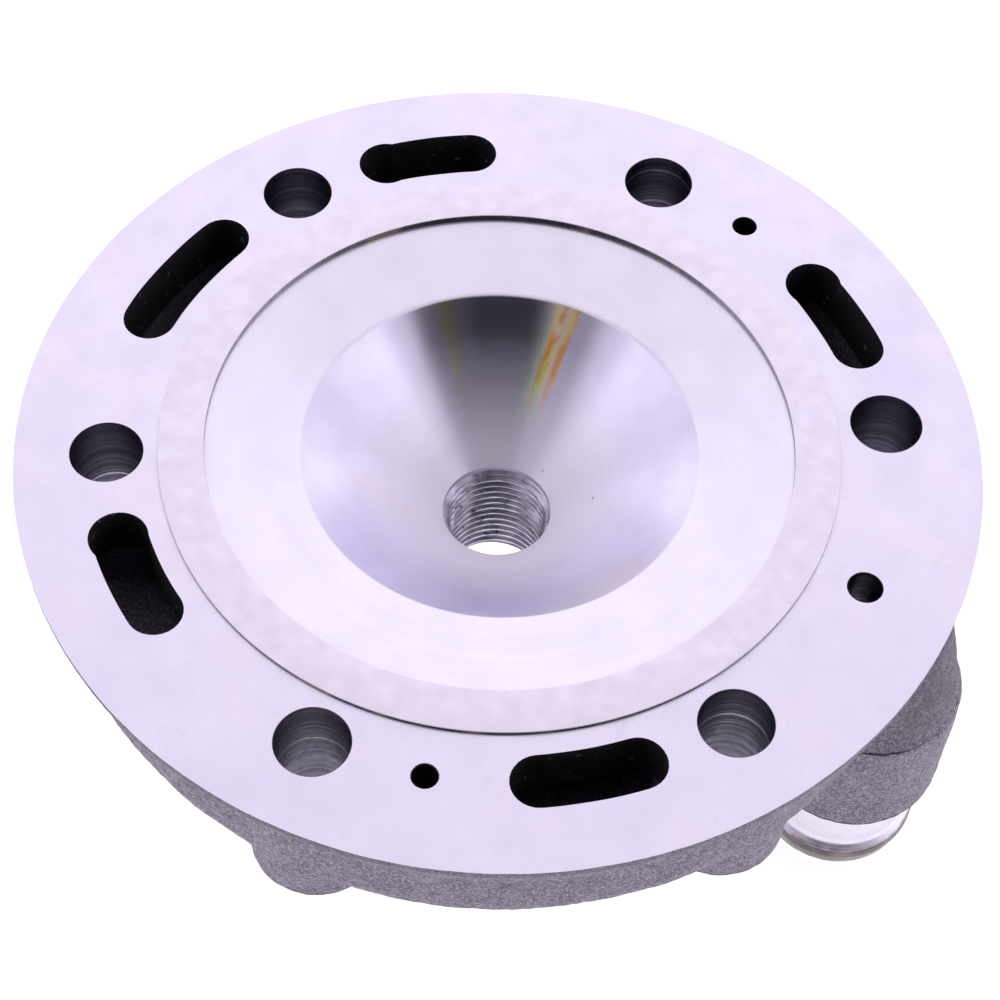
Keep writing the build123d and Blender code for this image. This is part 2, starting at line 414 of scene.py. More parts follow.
def grain(tree, size, detail=3.0, place=None):
    """Noise from 0 to 1 whose lumps are about the given size in millimetres."""
    made = node(tree, "ShaderNodeTexNoise", {
        "Vector": place or position(tree),
        "Scale": 1 / (size * MM),
        "Detail": detail,
    })
    return made.outputs["Fac"]


def polar_place(tree, distance=0.0):
    """Distance from a vertical axis at x = distance, angle round it and height, in metres and radians."""
    split = node(tree, "ShaderNodeSeparateXYZ", {0: position(tree)})
    across = math_node(tree, "SUBTRACT", split.outputs["X"], distance * MM)
    along = split.outputs["Y"]
    squared = math_node(tree, "ADD", math_node(tree, "MULTIPLY", across, across),
                        math_node(tree, "MULTIPLY", along, along))
    return math_node(tree, "SQRT", squared), math_node(tree, "ARCTAN2", along, across), split.outputs["Z"]


def rings(tree, spacing, distance=0.0, use_height=False):
    """Noise drawn out into rings round a vertical axis, as a turning tool leaves it."""
    radius, angle, height = polar_place(tree, distance)
    drift = 0.6 * spacing * MM
    combined = node(tree, "ShaderNodeCombineXYZ", {
        "X": height if use_height else radius,
        "Y": math_node(tree, "MULTIPLY", math_node(tree, "COSINE", angle), drift),
        "Z": math_node(tree, "MULTIPLY", math_node(tree, "SINE", angle), drift),
    })
    return grain(tree, spacing, 2.0, combined.outputs[0])


def spread(tree, value, low, high, start=0.3, end=0.7):
    """A noise value stretched to run from low to high."""
    mapped = node(tree, "ShaderNodeMapRange", {
        "Value": value,
        "From Min": start,
        "From Max": end,
        "To Min": low,
        "To Max": high,
    })
    return mapped.outputs[0]


def blend(tree, factor, first, second):
    """Colour that goes from the first to the second."""
    colors = {6: (*first, 1) if isinstance(first, tuple) else first,
              7: (*second, 1) if isinstance(second, tuple) else second,
              0: factor}
    return node(tree, "ShaderNodeMix", colors, data_type="RGBA").outputs[2]


def bump(tree, shader, height, depth, strength=1.0):
    """Relief of the given depth, in millimetres, for a height that runs from 0 to 1."""
    made = node(tree, "ShaderNodeBump", {"Height": height, "Strength": strength, "Distance": depth * MM})
    tree.links.new(made.outputs["Normal"], shader.inputs["Normal"])


def moved(tree, distance):
    """Place on the object, moved along so that a second noise differs from the first. In millimetres."""
    shifted = node(tree, "ShaderNodeVectorMath", {0: position(tree), 1: (distance * MM, distance * MM, 0)},
                   operation="ADD")
    return shifted.outputs[0]


def smudges(tree):
    """A few faint rubs, drawn out one way."""
    drawn_out = node(tree, "ShaderNodeMapping", {
        "Vector": position(tree),
        "Rotation": (0, 0, math.radians(35)),
        "Scale": (1.0, 0.25, 1.0),
    })
    return spread(tree, grain(tree, 1.8, 3.0, drawn_out.outputs[0]), 0.0, 0.45, 0.66, 0.74)


def edge_wear(tree, size=0.25):
    """1 on edges and corners, 0 on flat metal, with a ragged border."""
    bevel = node(tree, "ShaderNodeBevel", {"Radius": size * MM}, samples=4)
    normal = node(tree, "ShaderNodeNewGeometry").outputs["Normal"]
    agreement = node(tree, "ShaderNodeVectorMath", {0: bevel.outputs[0], 1: normal}, operation="DOT_PRODUCT")
    ragged = spread(tree, grain(tree, 0.8), -0.02, 0.02)
    return spread(tree, math_node(tree, "ADD", agreement.outputs["Value"], ragged), 1.0, 0.0, 0.93, 0.995)


def grains(tree, size):
    """A random value from 0 to 1 for each grain of about the given size in millimetres, and its dome."""
    made = node(tree, "ShaderNodeTexVoronoi", {"Vector": position(tree), "Scale": 1 / (size * MM)})
    split = node(tree, "ShaderNodeSeparateColor", {0: made.outputs["Color"]})
    return split.outputs[0], made.outputs["Distance"]


def near_height(tree, level, reach, height):
    """1 within a reach of a level, in millimetres, with a ragged border."""
    ragged = math_node(tree, "ADD", height, spread(tree, grain(tree, 0.9), -0.12 * MM, 0.12 * MM))
    away = math_node(tree, "ABSOLUTE", math_node(tree, "SUBTRACT", ragged, level * MM))
    return spread(tree, away, 1.0, 0.0, 0.8 * reach * MM, 1.2 * reach * MM)


def cast_skin():
    """Sand-cast outside: dull, grainy, violet grey, with painted shade where a machined surface starts and on
    the outlet's crown.
    """
    material, shader = new_material("cast_skin", CAST_COLOR, 0.3, 0.75)
    tree = material.node_tree
    blotches = spread(tree, grain(tree, 3.0, 4.0), 0.0, 1.0, 0.35, 0.65)
    color = blend(tree, blotches, CAST_COLOR, CAST_COLOR_LIGHT)
    value, _ = grains(tree, CAST_GRAIN)
    color = blend(tree, spread(tree, value, 0.75, 0.0, 0.0, 0.5), color, CAST_COLOR_DARK_GRAIN)
    color = blend(tree, spread(tree, value, 0.0, 0.7, 0.6, 1.0), color, CAST_COLOR_LIGHT_GRAIN_AND_GLINT)
    # Painted shade close under the gasket face and on the outlet's crown
    color = blend(tree, painted_shade_under_face_and_crown(tree), color, CAST_SHADE_COLOR)
    # Thin lines of painted shade in the creases at machined ends and under the collar
    color = blend(tree, painted_crease_shade(tree), color, CREASE_SHADE_COLOR)
    tree.links.new(color, shader.inputs["Base Color"])
    tree.links.new(spread(tree, grain(tree, 1.5), 0.65, 0.85), shader.inputs["Roughness"])
    relief = math_node(tree, "ADD", math_node(tree, "MULTIPLY", value, 0.6), grain(tree, 1.6, 3.0))
    bump(tree, shader, relief, 0.07)
    return material


def painted_shade_under_face_and_crown(tree):
    """Painted shade close under the gasket face and on the outlet's crown, from 0 to 1."""
    split = node(tree, "ShaderNodeSeparateXYZ", {0: position(tree)})
    wander = spread(tree, grain(tree, 3.0, 4.0), -0.8 * MM, 0.8 * MM)
    ragged = math_node(tree, "ADD", split.outputs["Z"], wander)
    under_face = spread(tree, ragged, 0.0, 0.35, -2.7 * MM, -1.8 * MM)
    crown_low = (OUTLET_COLLAR_HEIGHT - 0.5) * MM
    crown_high = (OUTLET_COLLAR_HEIGHT + 3.0) * MM
    crown = spread(tree, ragged, 0.0, 0.42, crown_low, crown_high)
    on_outlet = spread(tree, split.outputs["X"], 0.0, 1.0, 56.5 * MM, 59.0 * MM)
    return math_node(tree, "MAXIMUM", under_face, math_node(tree, "MULTIPLY", crown, on_outlet))


def painted_crease_shade(tree):
    """Thin lines of painted shade round the machined ends of the outlet and the columns and under the collar,
    0 to 1.
    """
    split = node(tree, "ShaderNodeSeparateXYZ", {0: position(tree)})
    aside = math_node(tree, "ABSOLUTE", split.outputs["Y"])
    beside_outlet = spread(tree, aside, 0.0, 1.0, OUTLET_BOSS_RADIUS * MM, (OUTLET_BOSS_RADIUS + 1.0) * MM)
    under_outlet = math_node(tree, "SUBTRACT", 1.0, beside_outlet)
    height = split.outputs["Z"]
    columns_end = near_height(tree, COLUMN_END_HEIGHT + 0.08, 0.15, height)
    columns_end = math_node(tree, "MULTIPLY", columns_end, beside_outlet)
    radius, _, _ = polar_place(tree)
    on_columns = spread(tree, radius, 0.0, 1.0, 46 * MM, 48 * MM)
    columns_end = math_node(tree, "MULTIPLY", columns_end, on_columns)
    outlet_end = near_height(tree, OUTLET_FACE_HEIGHT + 0.08, 0.17, height)
    collar = near_height(tree, OUTLET_COLLAR_HEIGHT, 0.14, height)
    collar = math_node(tree, "MULTIPLY", collar, under_outlet)
    near_side = spread(tree, split.outputs["Y"], 1.0, 0.0, -9.0 * MM, -6.0 * MM)
    collar = math_node(tree, "MULTIPLY", collar, near_side)
    lines = math_node(tree, "MAXIMUM", math_node(tree, "MAXIMUM", columns_end, outlet_end), collar)
    return math_node(tree, "MULTIPLY", lines, 0.9)


def jacket_skin():
    """Cast surface of the water jacket and its slots, painted nearly black as shade, with rare painted
    glints.
    """
    material, shader = new_material("jacket_skin", JACKET_SHADE_COLOR, 0.1, 0.85)
    tree = material.node_tree
    # Painted shade: the jacket is nearly black
    color = blend(tree, spread(tree, grain(tree, 2.5), 0.0, 1.0), JACKET_SHADE_COLOR, JACKET_SHADE_COLOR_LIGHT)
    # Rare grains lit up as painted glints
    value, _ = grains(tree, 0.5)
    color = blend(tree, spread(tree, value, 0.0, 0.3, 0.985, 0.995), color, CAST_COLOR_LIGHT_GRAIN_AND_GLINT)
    tree.links.new(color, shader.inputs["Base Color"])
    tree.links.new(spread(tree, grain(tree, 1.0), 0.75, 0.95), shader.inputs["Roughness"])
    bump(tree, shader, grain(tree, 0.8, 3.0), 0.2)
    return material


def milled_face():
    """Gasket face: bright and flat, with faint mottling, tool arcs and a few rubs."""
    material, shader = new_material("milled_face", FACE_COLOR, 1.0, 0.4)
    tree = material.node_tree
    mottling = spread(tree, grain(tree, 7.0, 6.0), 0.0, 0.7)
    color = blend(tree, mottling, FACE_COLOR, FACE_COLOR_DARK)
    tint = spread(tree, grain(tree, 12.0, 6.0), 0.0, 0.65, 0.42, 0.68)
    color = blend(tree, tint, color, FACE_COLOR_ROSE)
    tint = spread(tree, grain(tree, 16.0, 6.0, moved(tree, 50.0)), 0.0, 0.65, 0.42, 0.68)
    color = blend(tree, tint, color, FACE_COLOR_BLUE)
    fine = spread(tree, grain(tree, 0.6, 4.0), 0.0, 0.5, 0.35, 0.65)
    color = blend(tree, fine, color, FACE_COLOR_DARK)
    color = blend(tree, smudges(tree), color, RING_COLOR_DARK)
    tree.links.new(color, shader.inputs["Base Color"])
    tree.links.new(spread(tree, grain(tree, 4.0, 5.0), 0.34, 0.48), shader.inputs["Roughness"])
    bump(tree, shader, rings(tree, 0.5), 0.004)
    return material


def sealing_ring_face():
    """Top of the sealing ring: a shade darker than the face, with stained patches."""
    material, shader = new_material("sealing_ring_face", RING_COLOR, 1.0, 0.42)
    tree = material.node_tree
    color = blend(tree, spread(tree, grain(tree, 3.0, 6.0), 0.0, 1.0), RING_COLOR, RING_COLOR_DARK)
    color = blend(tree, spread(tree, grain(tree, 6.0, 4.0), 0.0, 0.7), color, RING_COLOR_WARM)
    color = blend(tree, smudges(tree), color, RING_COLOR_DARK)
    tree.links.new(color, shader.inputs["Base Color"])
    tree.links.new(spread(tree, grain(tree, 2.0, 5.0), 0.36, 0.52), shader.inputs["Roughness"])
    bump(tree, shader, rings(tree, 0.4), 0.004)
    return material


def turned_band():
    """Squish band: finely turned."""
    material, shader = new_material("turned_band", BAND_COLOR, 1.0, 0.36)
    tree = material.node_tree
    color = blend(tree, spread(tree, grain(tree, 6.0, 5.0), 0.0, 1.0), BAND_COLOR, BAND_COLOR_DARK)
    tree.links.new(color, shader.inputs["Base Color"])
    tree.links.new(spread(tree, rings(tree, 1.2), 0.24, 0.34), shader.inputs["Roughness"])
    around_the_axis(tree, shader, 0.4)
    bump(tree, shader, rings(tree, 0.35), 0.004)
    return material


def turned_bowl():
    """Bowl of the combustion chamber: turned, so that it smears reflections along its slope."""
    material, shader = new_material("turned_bowl", BOWL_COLOR, 1.0, 0.3)
    tree = material.node_tree
    color = blend(tree, spread(tree, grain(tree, 5.0, 5.0), 0.0, 1.0), BOWL_COLOR, BOWL_COLOR_DARK)
    radius, _, _ = polar_place(tree)
    color = blend(tree, spread(tree, radius, 0.85, 0.0, 9 * MM, 20 * MM), color, BOWL_COLOR_INNER)
    value, dome = grains(tree, 1.4)
    rare = spread(tree, value, 0.0, 1.0, 0.985, 0.987)
    pits = math_node(tree, "MULTIPLY", rare, spread(tree, dome, 1.0, 0.0, 0.10, 0.16))
    color = blend(tree, pits, color, PIT_COLOR)
    # Painted streaks of diffraction colour
    color = painted_diffraction_streaks(tree, color)
    tree.links.new(color, shader.inputs["Base Color"])
    coarser_inwards = spread(tree, radius, 0.32, 0.15, 9 * MM, 22 * MM)
    uneven = spread(tree, rings(tree, 1.5), -0.006, 0.006)
    tree.links.new(math_node(tree, "ADD", coarser_inwards, uneven), shader.inputs["Roughness"])
    inwards = spread(tree, radius, 1.0, 0.0, 9.5 * MM, 22.5 * MM)
    dulled = math_node(tree, "MULTIPLY", math_node(tree, "POWER", inwards, 1.6), 0.6)
    tree.links.new(math_node(tree, "SUBTRACT", 1.0, dulled), shader.inputs["Metallic"])
    around_the_axis(tree, shader, 1.0)
    bump(tree, shader, rings(tree, 0.4), 0.002)
    return material


def painted_diffraction_streaks(tree, color):
    """Painted streaks of diffraction colour, as fine turning marks reflect them down the bowl, fixed in
    place.
    """
    radius, angle, _ = polar_place(tree)
    for middle, half_width, hues in SHEEN_STREAKS:
        off_line = math_node(tree, "SUBTRACT", angle, math.radians(middle))
        streaks = node(tree, "ShaderNodeCombineXYZ", {
            "X": math_node(tree, "MULTIPLY", off_line, 20.0),
            "Y": math_node(tree, "MULTIPLY", radius, 0.5 / MM),
            "Z": float(middle),
        })
        wave = node(tree, "ShaderNodeTexNoise", {
            "Vector": streaks.outputs[0],
            "Scale": 1.0,
            "Detail": 3.0,
        })
        slanted = math_node(tree, "MULTIPLY", off_line, SHEEN_SLANT)
        uneven = math_node(tree, "ADD", slanted, spread(tree, wave.outputs["Fac"], -0.15, 0.15))
        within = spread(tree, math_node(tree, "ABSOLUTE", off_line), 1.0, 0.0,
                        0.3 * math.radians(half_width), math.radians(half_width))
        outwards = spread(tree, radius, 0.0, 1.0, 11 * MM, 23 * MM)
        ramp = node(tree, "ShaderNodeValToRGB", {"Fac": math_node(tree, "ADD", outwards, uneven)})
        points = ramp.color_ramp.elements
        while len(points) < len(hues):
            points.new(0.5)
        for index, (point, hue) in enumerate(zip(points, hues)):
            point.position = index / (len(hues) - 1)
            point.color = (*hue, 1)
        strength = math_node(tree, "MULTIPLY", within, spread(tree, outwards, 0.0, 1.0, 0.0, 0.35))
        color = blend(tree, strength, color, ramp.outputs["Color"])
    return color


def step_wall():
    """Sides of the sealing ring's steps: painted shade on two opposite sides, clean between; the painted
    shade is mottled with brassy tool marks.
    """
    material, shader = new_material("step_wall", STEP_SHADE_COLOR, 0.6, 0.45)
    tree = material.node_tree
    _, angle, _ = polar_place(tree)
    # Painted shade on the wall's two sides along the shade direction, clean between
    facing = math_node(tree, "COSINE", math_node(tree, "SUBTRACT", angle, STEP_SHADE_DIRECTION))
    shaded = spread(tree, math_node(tree, "ABSOLUTE", facing), 0.0, 1.0, 0.6, 0.96)
    brass = spread(tree, grain(tree, 7.0), 0.0, 0.8, 0.52, 0.62)
    shade_color = blend(tree, brass, STEP_SHADE_COLOR, STEP_SHADE_COLOR_BRASS)
    tree.links.new(blend(tree, shaded, STEP_COLOR_CLEAN, shade_color), shader.inputs["Base Color"])
    tree.links.new(spread(tree, grain(tree, 1.0), 0.35, 0.55), shader.inputs["Roughness"])
    bump(tree, shader, rings(tree, 0.2, use_height=True), 0.01)
    return material


def around_the_axis(tree, shader, amount):
    """Turning grooves run round the plug axis, so gloss is stretched across them."""
    tangent = node(tree, "ShaderNodeTangent", direction_type="RADIAL", axis="Z")
    tree.links.new(tangent.outputs[0], shader.inputs["Tangent"])
    shader.inputs["Anisotropic"].default_value = amount
    shader.inputs["Anisotropic Rotation"].default_value = 0.25


def bored_hole():
    """Walls of drilled and bored holes, painted dark as shade inside the holes, with painted highlight arcs.
    """
    material, shader = new_material("bored_hole", BORE_SHADE_COLOR, 1.0, 0.35)
    tree = material.node_tree
    lines = rings(tree, 0.5, use_height=True)
    # Painted shade inside the holes, darker along the turning lines
    color = blend(tree, spread(tree, lines, 0.0, 1.0), BORE_SHADE_COLOR, BORE_SHADE_COLOR_DARK)
    # Painted highlights along thin arcs
    highlight_arcs = rings(tree, 0.9, use_height=True)
    color = blend(tree, spread(tree, highlight_arcs, 0.0, 1.0, 0.66, 0.72), color, BORE_HIGHLIGHT_COLOR)
    tree.links.new(color, shader.inputs["Base Color"])
    tree.links.new(spread(tree, grain(tree, 1.0), 0.28, 0.45), shader.inputs["Roughness"])
    bump(tree, shader, lines, 0.03)
    return material


def spot_faced():
    """Machined ends of the columns and bosses on the jacket side."""
    material, shader = new_material("spot_faced", SPOT_FACE_COLOR, 1.0, 0.35)
    tree = material.node_tree
    mottling = spread(tree, grain(tree, 3.0, 4.0), 0.0, 1.0)
    color = blend(tree, mottling, SPOT_FACE_COLOR, SPOT_FACE_COLOR_DARK)
    tree.links.new(color, shader.inputs["Base Color"])
    tree.links.new(spread(tree, grain(tree, 1.5), 0.28, 0.42), shader.inputs["Roughness"])
    bump(tree, shader, rings(tree, 0.5), 0.01)
    return material


def cut_thread():
    """Thread flanks: torn and streaked by the tap."""
    material, shader = new_material("cut_thread", THREAD_COLOR, 1.0, 0.35)
    tree = material.node_tree
    chips = spread(tree, grain(tree, 2.2, 2.0), 0.0, 1.0, 0.4, 0.65)
    color = blend(tree, chips, THREAD_COLOR, THREAD_COLOR_DARK)
    torn = spread(tree, grain(tree, 1.1, 3.0), 0.0, 0.85, 0.67, 0.71)
    color = blend(tree, torn, color, THREAD_COLOR_TORN)
    tree.links.new(color, shader.inputs["Base Color"])
    tree.links.new(spread(tree, grain(tree, 0.8), 0.28, 0.5), shader.inputs["Roughness"])
    bump(tree, shader, chips, 0.03)
    return material


def bright_turned():
    """Hose spigot: bright, finely turned metal with a band of painted shade below its bead."""
    material, shader = new_material("bright_turned", SPIGOT_COLOR, 1.0, 0.3)
    tree = material.node_tree
    lines = rings(tree, 0.45, OUTLET_DISTANCE, use_height=True)
    color = blend(tree, spread(tree, lines, 0.0, 0.35), SPIGOT_COLOR, SPIGOT_COLOR_DARK)
    _, _, height = polar_place(tree, OUTLET_DISTANCE)
    ragged = math_node(tree, "ADD", height, spread(tree, grain(tree, 2.0), -0.1 * MM, 0.1 * MM))
    # Painted shade in a band below the bead
    shade_high = BEAD_HEIGHT + 0.7
    shade_low = SPIGOT_END_HEIGHT + 0.35
    below = spread(tree, ragged, 1.0, 0.0, shade_high * MM, (shade_high + 0.4) * MM)
    above = spread(tree, ragged, 0.0, 1.0, shade_low * MM, (shade_low + 0.2) * MM)
    shade_color = blend(tree, spread(tree, grain(tree, 3.0, 3.0), 0.0, 1.0), BEAD_SHADE_COLOR, BEAD_SHADE_COLOR_LIGHT)
    color = blend(tree, math_node(tree, "MULTIPLY", below, above), color, shade_color)
    tree.links.new(color, shader.inputs["Base Color"])
    tree.links.new(spread(tree, grain(tree, 2.0), 0.24, 0.36), shader.inputs["Roughness"])
    bump(tree, shader, lines, 0.012)
    return material


def plated_steel(name, color):
    """Plated steel with a fine uneven sheen and worn edges."""
    material, shader = new_material(name, color, 1.0, 0.3)
    tree = material.node_tree
    dark = tuple(0.7 * part for part in color)
    tone = blend(tree, spread(tree, grain(tree, 2.5, 4.0), 0.0, 1.0), color, dark)
    tone = blend(tree, edge_wear(tree), tone, WORN_COLOR)
    tree.links.new(tone, shader.inputs["Base Color"])
    tree.links.new(spread(tree, grain(tree, 1.2), 0.22, 0.42), shader.inputs["Roughness"])
    bump(tree, shader, grain(tree, 0.5, 3.0), 0.01)
    return material


# ---------------------------------------------------------------- the rough casting

def roof_height(radius):
    """Height of the outside of the jacket roof at a radius."""
    return SHOULDER_HEIGHT - ROOF_SLOPE * (WALL_RADIUS - SHOULDER_RADIUS - radius)


def remesh(piece, size, smoothing):
    """Turns overlapping closed shells into one evenly meshed skin with soft corners."""
    modifier = piece.modifiers.new("remesh", "REMESH")
    modifier.mode = "VOXEL"
    modifier.voxel_size = size * MM
    apply_modifiers(piece)
    modifier = piece.modifiers.new("soften", "SMOOTH")
    modifier.factor = 0.5
    modifier.iterations = smoothing
    apply_modifiers(piece)


def join(pieces):
    """One object from several."""
    kept = pieces[0]
    edit = bmesh.new()
    for piece in pieces:
        edit.from_mesh(piece.data)
    edit.to_mesh(kept.data)
    edit.free()
    for piece in pieces[1:]:
        bpy.data.objects.remove(piece)
    return kept


def roughen(piece, coarse, fine):
    """Moves the skin in and out a little, as sand leaves it. Depths are in millimetres."""
    mesh = piece.data
    count = len(mesh.vertices)
    places = np.empty(count * 3)
    normals = np.empty(count * 3)
    mesh.vertices.foreach_get("co", places)
    mesh.vertices.foreach_get("normal", normals)
    places = places.reshape(-1, 3)
    normals = normals.reshape(-1, 3)
    depth = np.array([coarse * noise.noise(Vector(place) / (5 * MM))
                      + fine * noise.noise(Vector(place) / (1.1 * MM)) for place in places])
    near_face = places[:, 2] > CALM_HEIGHT * MM
    depth[near_face] *= CALM_SHARE
    places += normals * depth[:, None] * MM
    mesh.vertices.foreach_set("co", places.ravel())
    mesh.update()


def outlet_housing(name):
    """Cast elbow round the outlet's waterway."""
    return turned(name, [
        (0, OUTLET_CROWN_HEIGHT, 0),
        (OUTLET_CROWN_RADIUS, OUTLET_CROWN_HEIGHT, 2.0),
        (OUTLET_BOSS_RADIUS - OUTLET_COLLAR_STEP, OUTLET_COLLAR_HEIGHT + 0.6, 0.3),
        (OUTLET_BOSS_RADIUS, OUTLET_COLLAR_HEIGHT, 0.3),
        (OUTLET_BOSS_RADIUS, OUTLET_FACE_HEIGHT - ALLOWANCE, 0.3),
        (0, OUTLET_FACE_HEIGHT - ALLOWANCE, 0),
    ], OUTLET_DISTANCE, 0, steps=96)


def columns(name):
    """The six bolt columns, a little longer than they end up."""
    shapes = []
    for angle in BOLT_ANGLES:
        shapes.append(rod(name, COLUMN_END_RADIUS, COLUMN_END_HEIGHT - ALLOWANCE, DECK_HEIGHT + 1,
                          BOLT_CIRCLE_RADIUS, angle, high_radius=COLUMN_ROOT_RADIUS))
    return shapes


def casting_blank():
    """Outside of the casting as it leaves the mould, with metal left on for machining."""
    tower_foot = TOWER_RADIUS + 2.5
    shell = turned("cast_head", [
        (0, ALLOWANCE, 0),
        (FLANGE_RADIUS, ALLOWANCE, 0),
        (FLANGE_RADIUS, -LIP_HEIGHT, 0.4),
        (WALL_RADIUS, WALL_TOP, 5.0),
        (WALL_RADIUS, SHOULDER_HEIGHT, SHOULDER_RADIUS),
        (tower_foot, roof_height(tower_foot), 5.0),
        (TOWER_RADIUS, PLUG_SEAT_HEIGHT - ALLOWANCE, 0.5),
        (0, PLUG_SEAT_HEIGHT - ALLOWANCE, 0),
    ])
    bosses = [
        rod("boss", BLEED_BOSS_RADIUS, BLEED_FACE_HEIGHT - ALLOWANCE, SHOULDER_HEIGHT, *BLEED_PLACE),
        rod("boss", SENSOR_BOSS_RADIUS, SENSOR_FACE_HEIGHT - ALLOWANCE, SHOULDER_HEIGHT, *SENSOR_PLACE),
    ]
    for angle in CORE_ANGLES:
        bosses.append(rod("pad", CORE_PAD_RADIUS, CORE_PAD_HEIGHT - ALLOWANCE, SHOULDER_HEIGHT,
                          CORE_DISTANCE, angle))
    blank = join([shell, outlet_housing("housing")] + columns("column") + bosses)
    remesh(blank, VOXEL, smoothing=4)
    roughen(blank, coarse=0.12, fine=0.09)
    return blank


def sand_core():
    """The jacket and the outlet's waterway, as the core that leaves them hollow."""
    roof_inside = SHOULDER_HEIGHT + ROOF_THICKNESS
    core = turned("sand_core", [
        (CHAMBER_WALL_RADIUS, DECK_HEIGHT, 1.0),
        (JACKET_OUTER_RADIUS, DECK_HEIGHT, 1.5),
        (JACKET_OUTER_RADIUS, roof_inside, 2.5),
        (JACKET_INNER_RADIUS, roof_height(JACKET_INNER_RADIUS) + ROOF_THICKNESS, 2.0),
        (JACKET_INNER_RADIUS, PLUG_MOUTH_HEIGHT - 1.5, 1.5),
        (CHAMBER_WALL_RADIUS - 3.5, CHAMBER_KNEE_HEIGHT, 2.0),
    ])
    cut(core, columns("column") + [outlet_housing("housing")])
    waterway = turned("waterway", [
        (0, WATERWAY_TOP_HEIGHT, 0),
        (WATERWAY_TOP_RADIUS, WATERWAY_TOP_HEIGHT, 2.0),
        (WATERWAY_RADIUS, OUTLET_COLLAR_HEIGHT, 3.0),
        (WATERWAY_RADIUS, OUTLET_FACE_HEIGHT - CLEAR, 0),
        (0, OUTLET_FACE_HEIGHT - CLEAR, 0),
    ], OUTLET_DISTANCE, 0, steps=96)
    window = rod("window", WINDOW_RADIUS, 0, OUTLET_BOSS_RADIUS + 2.0)
    window.data.transform(Matrix.Rotation(math.radians(-90), 4, "Y"))
    window.data.transform(Matrix.Translation(Vector((OUTLET_DISTANCE, 0, WINDOW_HEIGHT)) * MM))
    core = join([core, waterway, window])
    remesh(core, 1.5 * VOXEL, smoothing=3)
    roughen(core, coarse=0.15, fine=0.08)
    return core


# ---------------------------------------------------------------- machining

def facing_tool():
    """Everything that is turned away above the finished face, down through the plug hole's lip."""
    return turned("facing", [
        (0, 2 * ALLOWANCE, 0),
        (FLANGE_RADIUS + CLEAR, 2 * ALLOWANCE, 0),
        (FLANGE_RADIUS + CLEAR, 0, 0),
        (RING_OUTER_RADIUS, 0, 0),
        (RING_OUTER_RADIUS, RING_HEIGHT, 0.12),
        (RING_INNER_RADIUS, RING_HEIGHT, 0.12),
        (RING_INNER_RADIUS, BAND_EDGE_HEIGHT, 0),
        (MOUTH_RADIUS, MOUTH_HEIGHT, MOUTH_ROUNDING),
        (THREAD_MAJOR_RADIUS, PLUG_MOUTH_HEIGHT, 0),
        (THREAD_MAJOR_RADIUS, PLUG_LIP_HEIGHT - CLEAR, 0),
        (0, PLUG_LIP_HEIGHT - CLEAR, 0),
    ])


def drill(name, radius, low, high, distance, angle, chamfer=0.06):
    """Drilled hole with its edges broken at the top."""
    return turned(name, [
        (0, low, 0),
        (radius, low, 0),
        (radius, high - chamfer, 0),
        (radius + chamfer, high, 0),
        (radius + chamfer, high + CLEAR, 0),
        (0, high + CLEAR, 0),
    ], distance, angle, steps=72)


def spot_facing(radius, height, distance, angle):
    """Flat cut on the end of a column or boss, from the jacket side."""
    return rod("spot", radius, height - 3 * CLEAR, height, distance, angle)


def kidney_tool(index, middle, covered):
    """Cast slot through the deck: a curved prism whose outline wanders a little."""
    tool = arc_slot("slot", middle, covered, DECK_HEIGHT - 1.0, ALLOWANCE + CLEAR)
    for vertex in tool.data.vertices:
        place = vertex.co / MM
        wander = noise.noise_vector(Vector((place.x, place.y, 40 * index)) / 8.0) * SLOT_WANDER
        vertex.co += Vector((wander.x, wander.y, 0)) * MM
    return tool


def plunge_tool(middle, covered, end):
    """Slightly wider round end of a slot, where its cutter went in."""
    radius = SLOT_WIDTH / 2 + SLOT_PLUNGE_EXTRA
    angle = middle + end * (covered / 2 - math.degrees(SLOT_WIDTH / 2 / SLOT_RADIUS))
    distance = SLOT_RADIUS + SLOT_PLUNGE_EXTRA / 2
    return rod("plunge", radius, DECK_HEIGHT - 1.0, ALLOWANCE + CLEAR, distance, angle)


